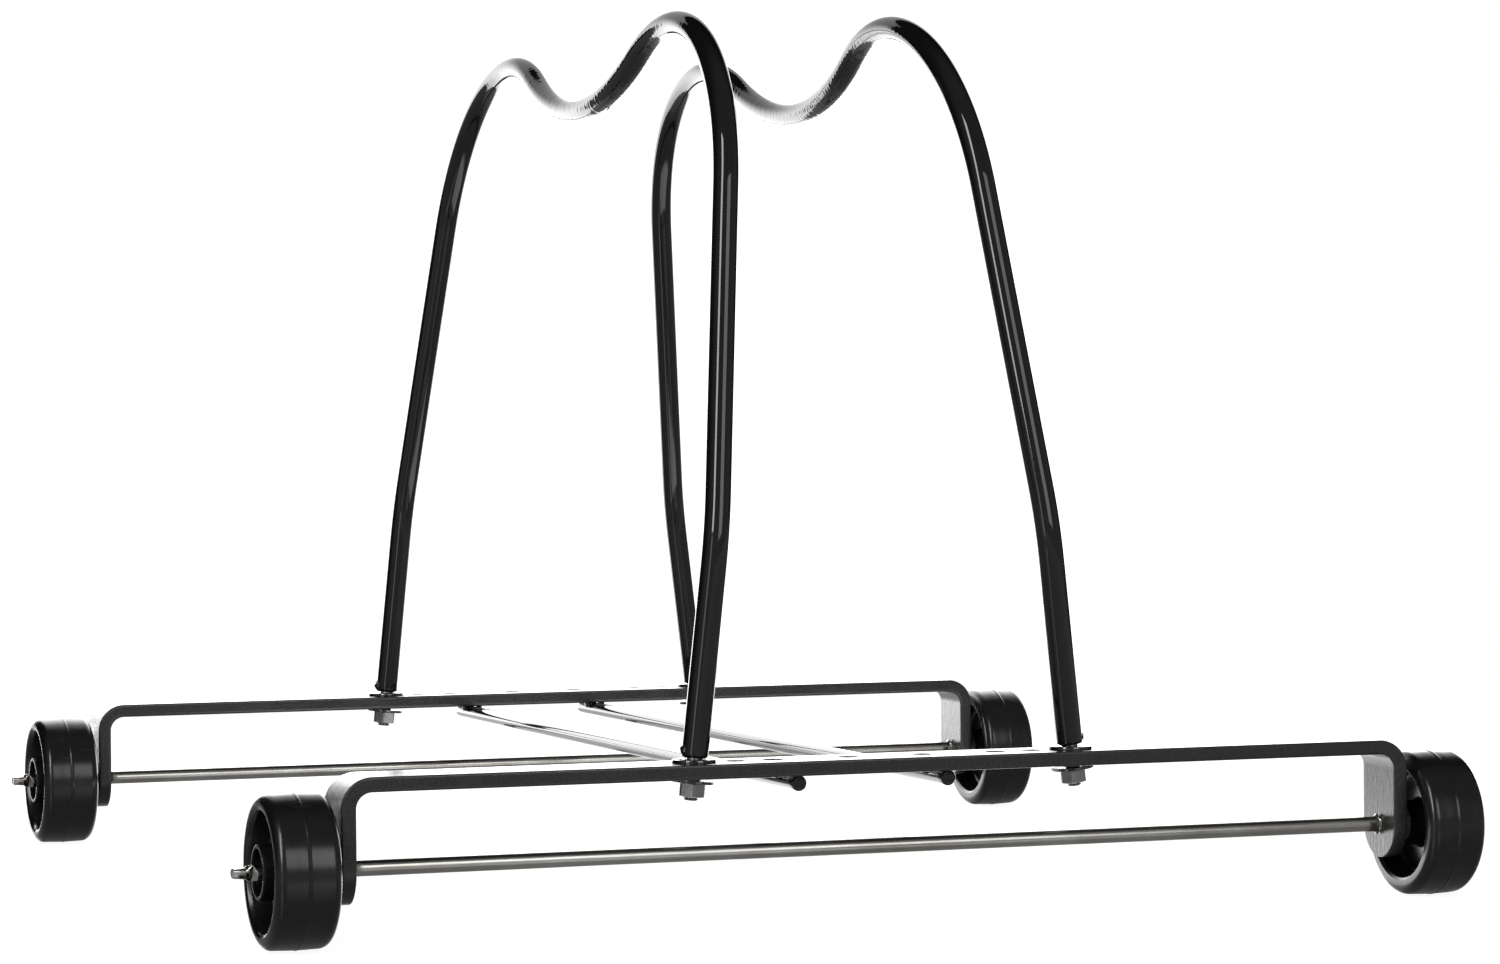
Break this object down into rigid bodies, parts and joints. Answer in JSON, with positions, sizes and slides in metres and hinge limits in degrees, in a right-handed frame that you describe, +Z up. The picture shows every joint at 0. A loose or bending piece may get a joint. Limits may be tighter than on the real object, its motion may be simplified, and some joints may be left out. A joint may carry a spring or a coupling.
{
  "type": "rolling hoop stand",
  "caption": "Rolling stand with two flat bars on small wheels, two cross rods and a pair of bolted hoops with M-shaped tops that lean together to cradle a load.",
  "frame": {"origin": "on the floor under the middle of the stand, midway between the wheels", "axes": "+X along the bars and axles to the right, +Y from the front bar to the rear bar, +Z up"},
  "size_m": [0.67, 0.6642, 0.4687],
  "materials": {
    "bar_paint": "rough black paint with a fine hammered grain",
    "gloss_black": "gloss black powder coat",
    "zinc": "bright zinc plating",
    "bright_steel": "bright drawn steel with lengthwise streaks",
    "wheel_plastic": "semi-gloss moulded black plastic"
  },
  "bodies": {
    "frame": {"front_bar": "bar_paint", "rear_bar": "bar_paint", "cross_rod_left": "gloss_black", "cross_rod_right": "gloss_black", "rod_weld_left_front": "gloss_black", "rod_weld_left_rear": "gloss_black", "rod_weld_right_front": "gloss_black", "rod_weld_right_rear": "gloss_black", "hoop_left": "gloss_black", "hoop_right": "gloss_black", "stud_left_front": "zinc", "stud_left_rear": "zinc", "stud_right_front": "zinc", "stud_right_rear": "zinc", "stud_weld_left_front": "gloss_black", "stud_weld_left_rear": "gloss_black", "stud_weld_right_front": "gloss_black", "stud_weld_right_rear": "gloss_black", "upper_washer_left_front": "zinc", "upper_washer_left_rear": "zinc", "upper_washer_right_front": "zinc", "upper_washer_right_rear": "zinc", "lower_washer_left_front": "zinc", "lower_washer_left_rear": "zinc", "lower_washer_right_front": "zinc", "lower_washer_right_rear": "zinc", "nut_left_front": "zinc", "nut_left_rear": "zinc", "nut_right_front": "zinc", "nut_right_rear": "zinc"},
    "axle_front": {"axle_front": "bright_steel"},
    "axle_rear": {"axle_rear": "bright_steel"},
    "wheel_left_front": {"wheel_left_front": "wheel_plastic"},
    "wheel_left_rear": {"wheel_left_rear": "wheel_plastic"},
    "wheel_right_front": {"wheel_right_front": "wheel_plastic"},
    "wheel_right_rear": {"wheel_right_rear": "wheel_plastic"}
  },
  "joints": [
    {"name": "axle_front_turn", "type": "hinge", "parent": "frame", "child": "axle_front", "pos_m": [0, -0.294, 0.0381], "axis": [1, 0, 0], "continuous": true},
    {"name": "axle_rear_turn", "type": "hinge", "parent": "frame", "child": "axle_rear", "pos_m": [0, 0.294, 0.0381], "axis": [1, 0, 0], "continuous": true},
    {"name": "wheel_left_front_roll", "type": "hinge", "parent": "axle_front", "child": "wheel_left_front", "pos_m": [-0.3055, -0.294, 0.0381], "axis": [1, 0, 0], "continuous": true},
    {"name": "wheel_left_rear_roll", "type": "hinge", "parent": "axle_rear", "child": "wheel_left_rear", "pos_m": [-0.3055, 0.294, 0.0381], "axis": [1, 0, 0], "continuous": true},
    {"name": "wheel_right_front_roll", "type": "hinge", "parent": "axle_front", "child": "wheel_right_front", "pos_m": [0.3055, -0.294, 0.0381], "axis": [1, 0, 0], "continuous": true},
    {"name": "wheel_right_rear_roll", "type": "hinge", "parent": "axle_rear", "child": "wheel_right_rear", "pos_m": [0.3055, 0.294, 0.0381], "axis": [1, 0, 0], "continuous": true}
  ]
}
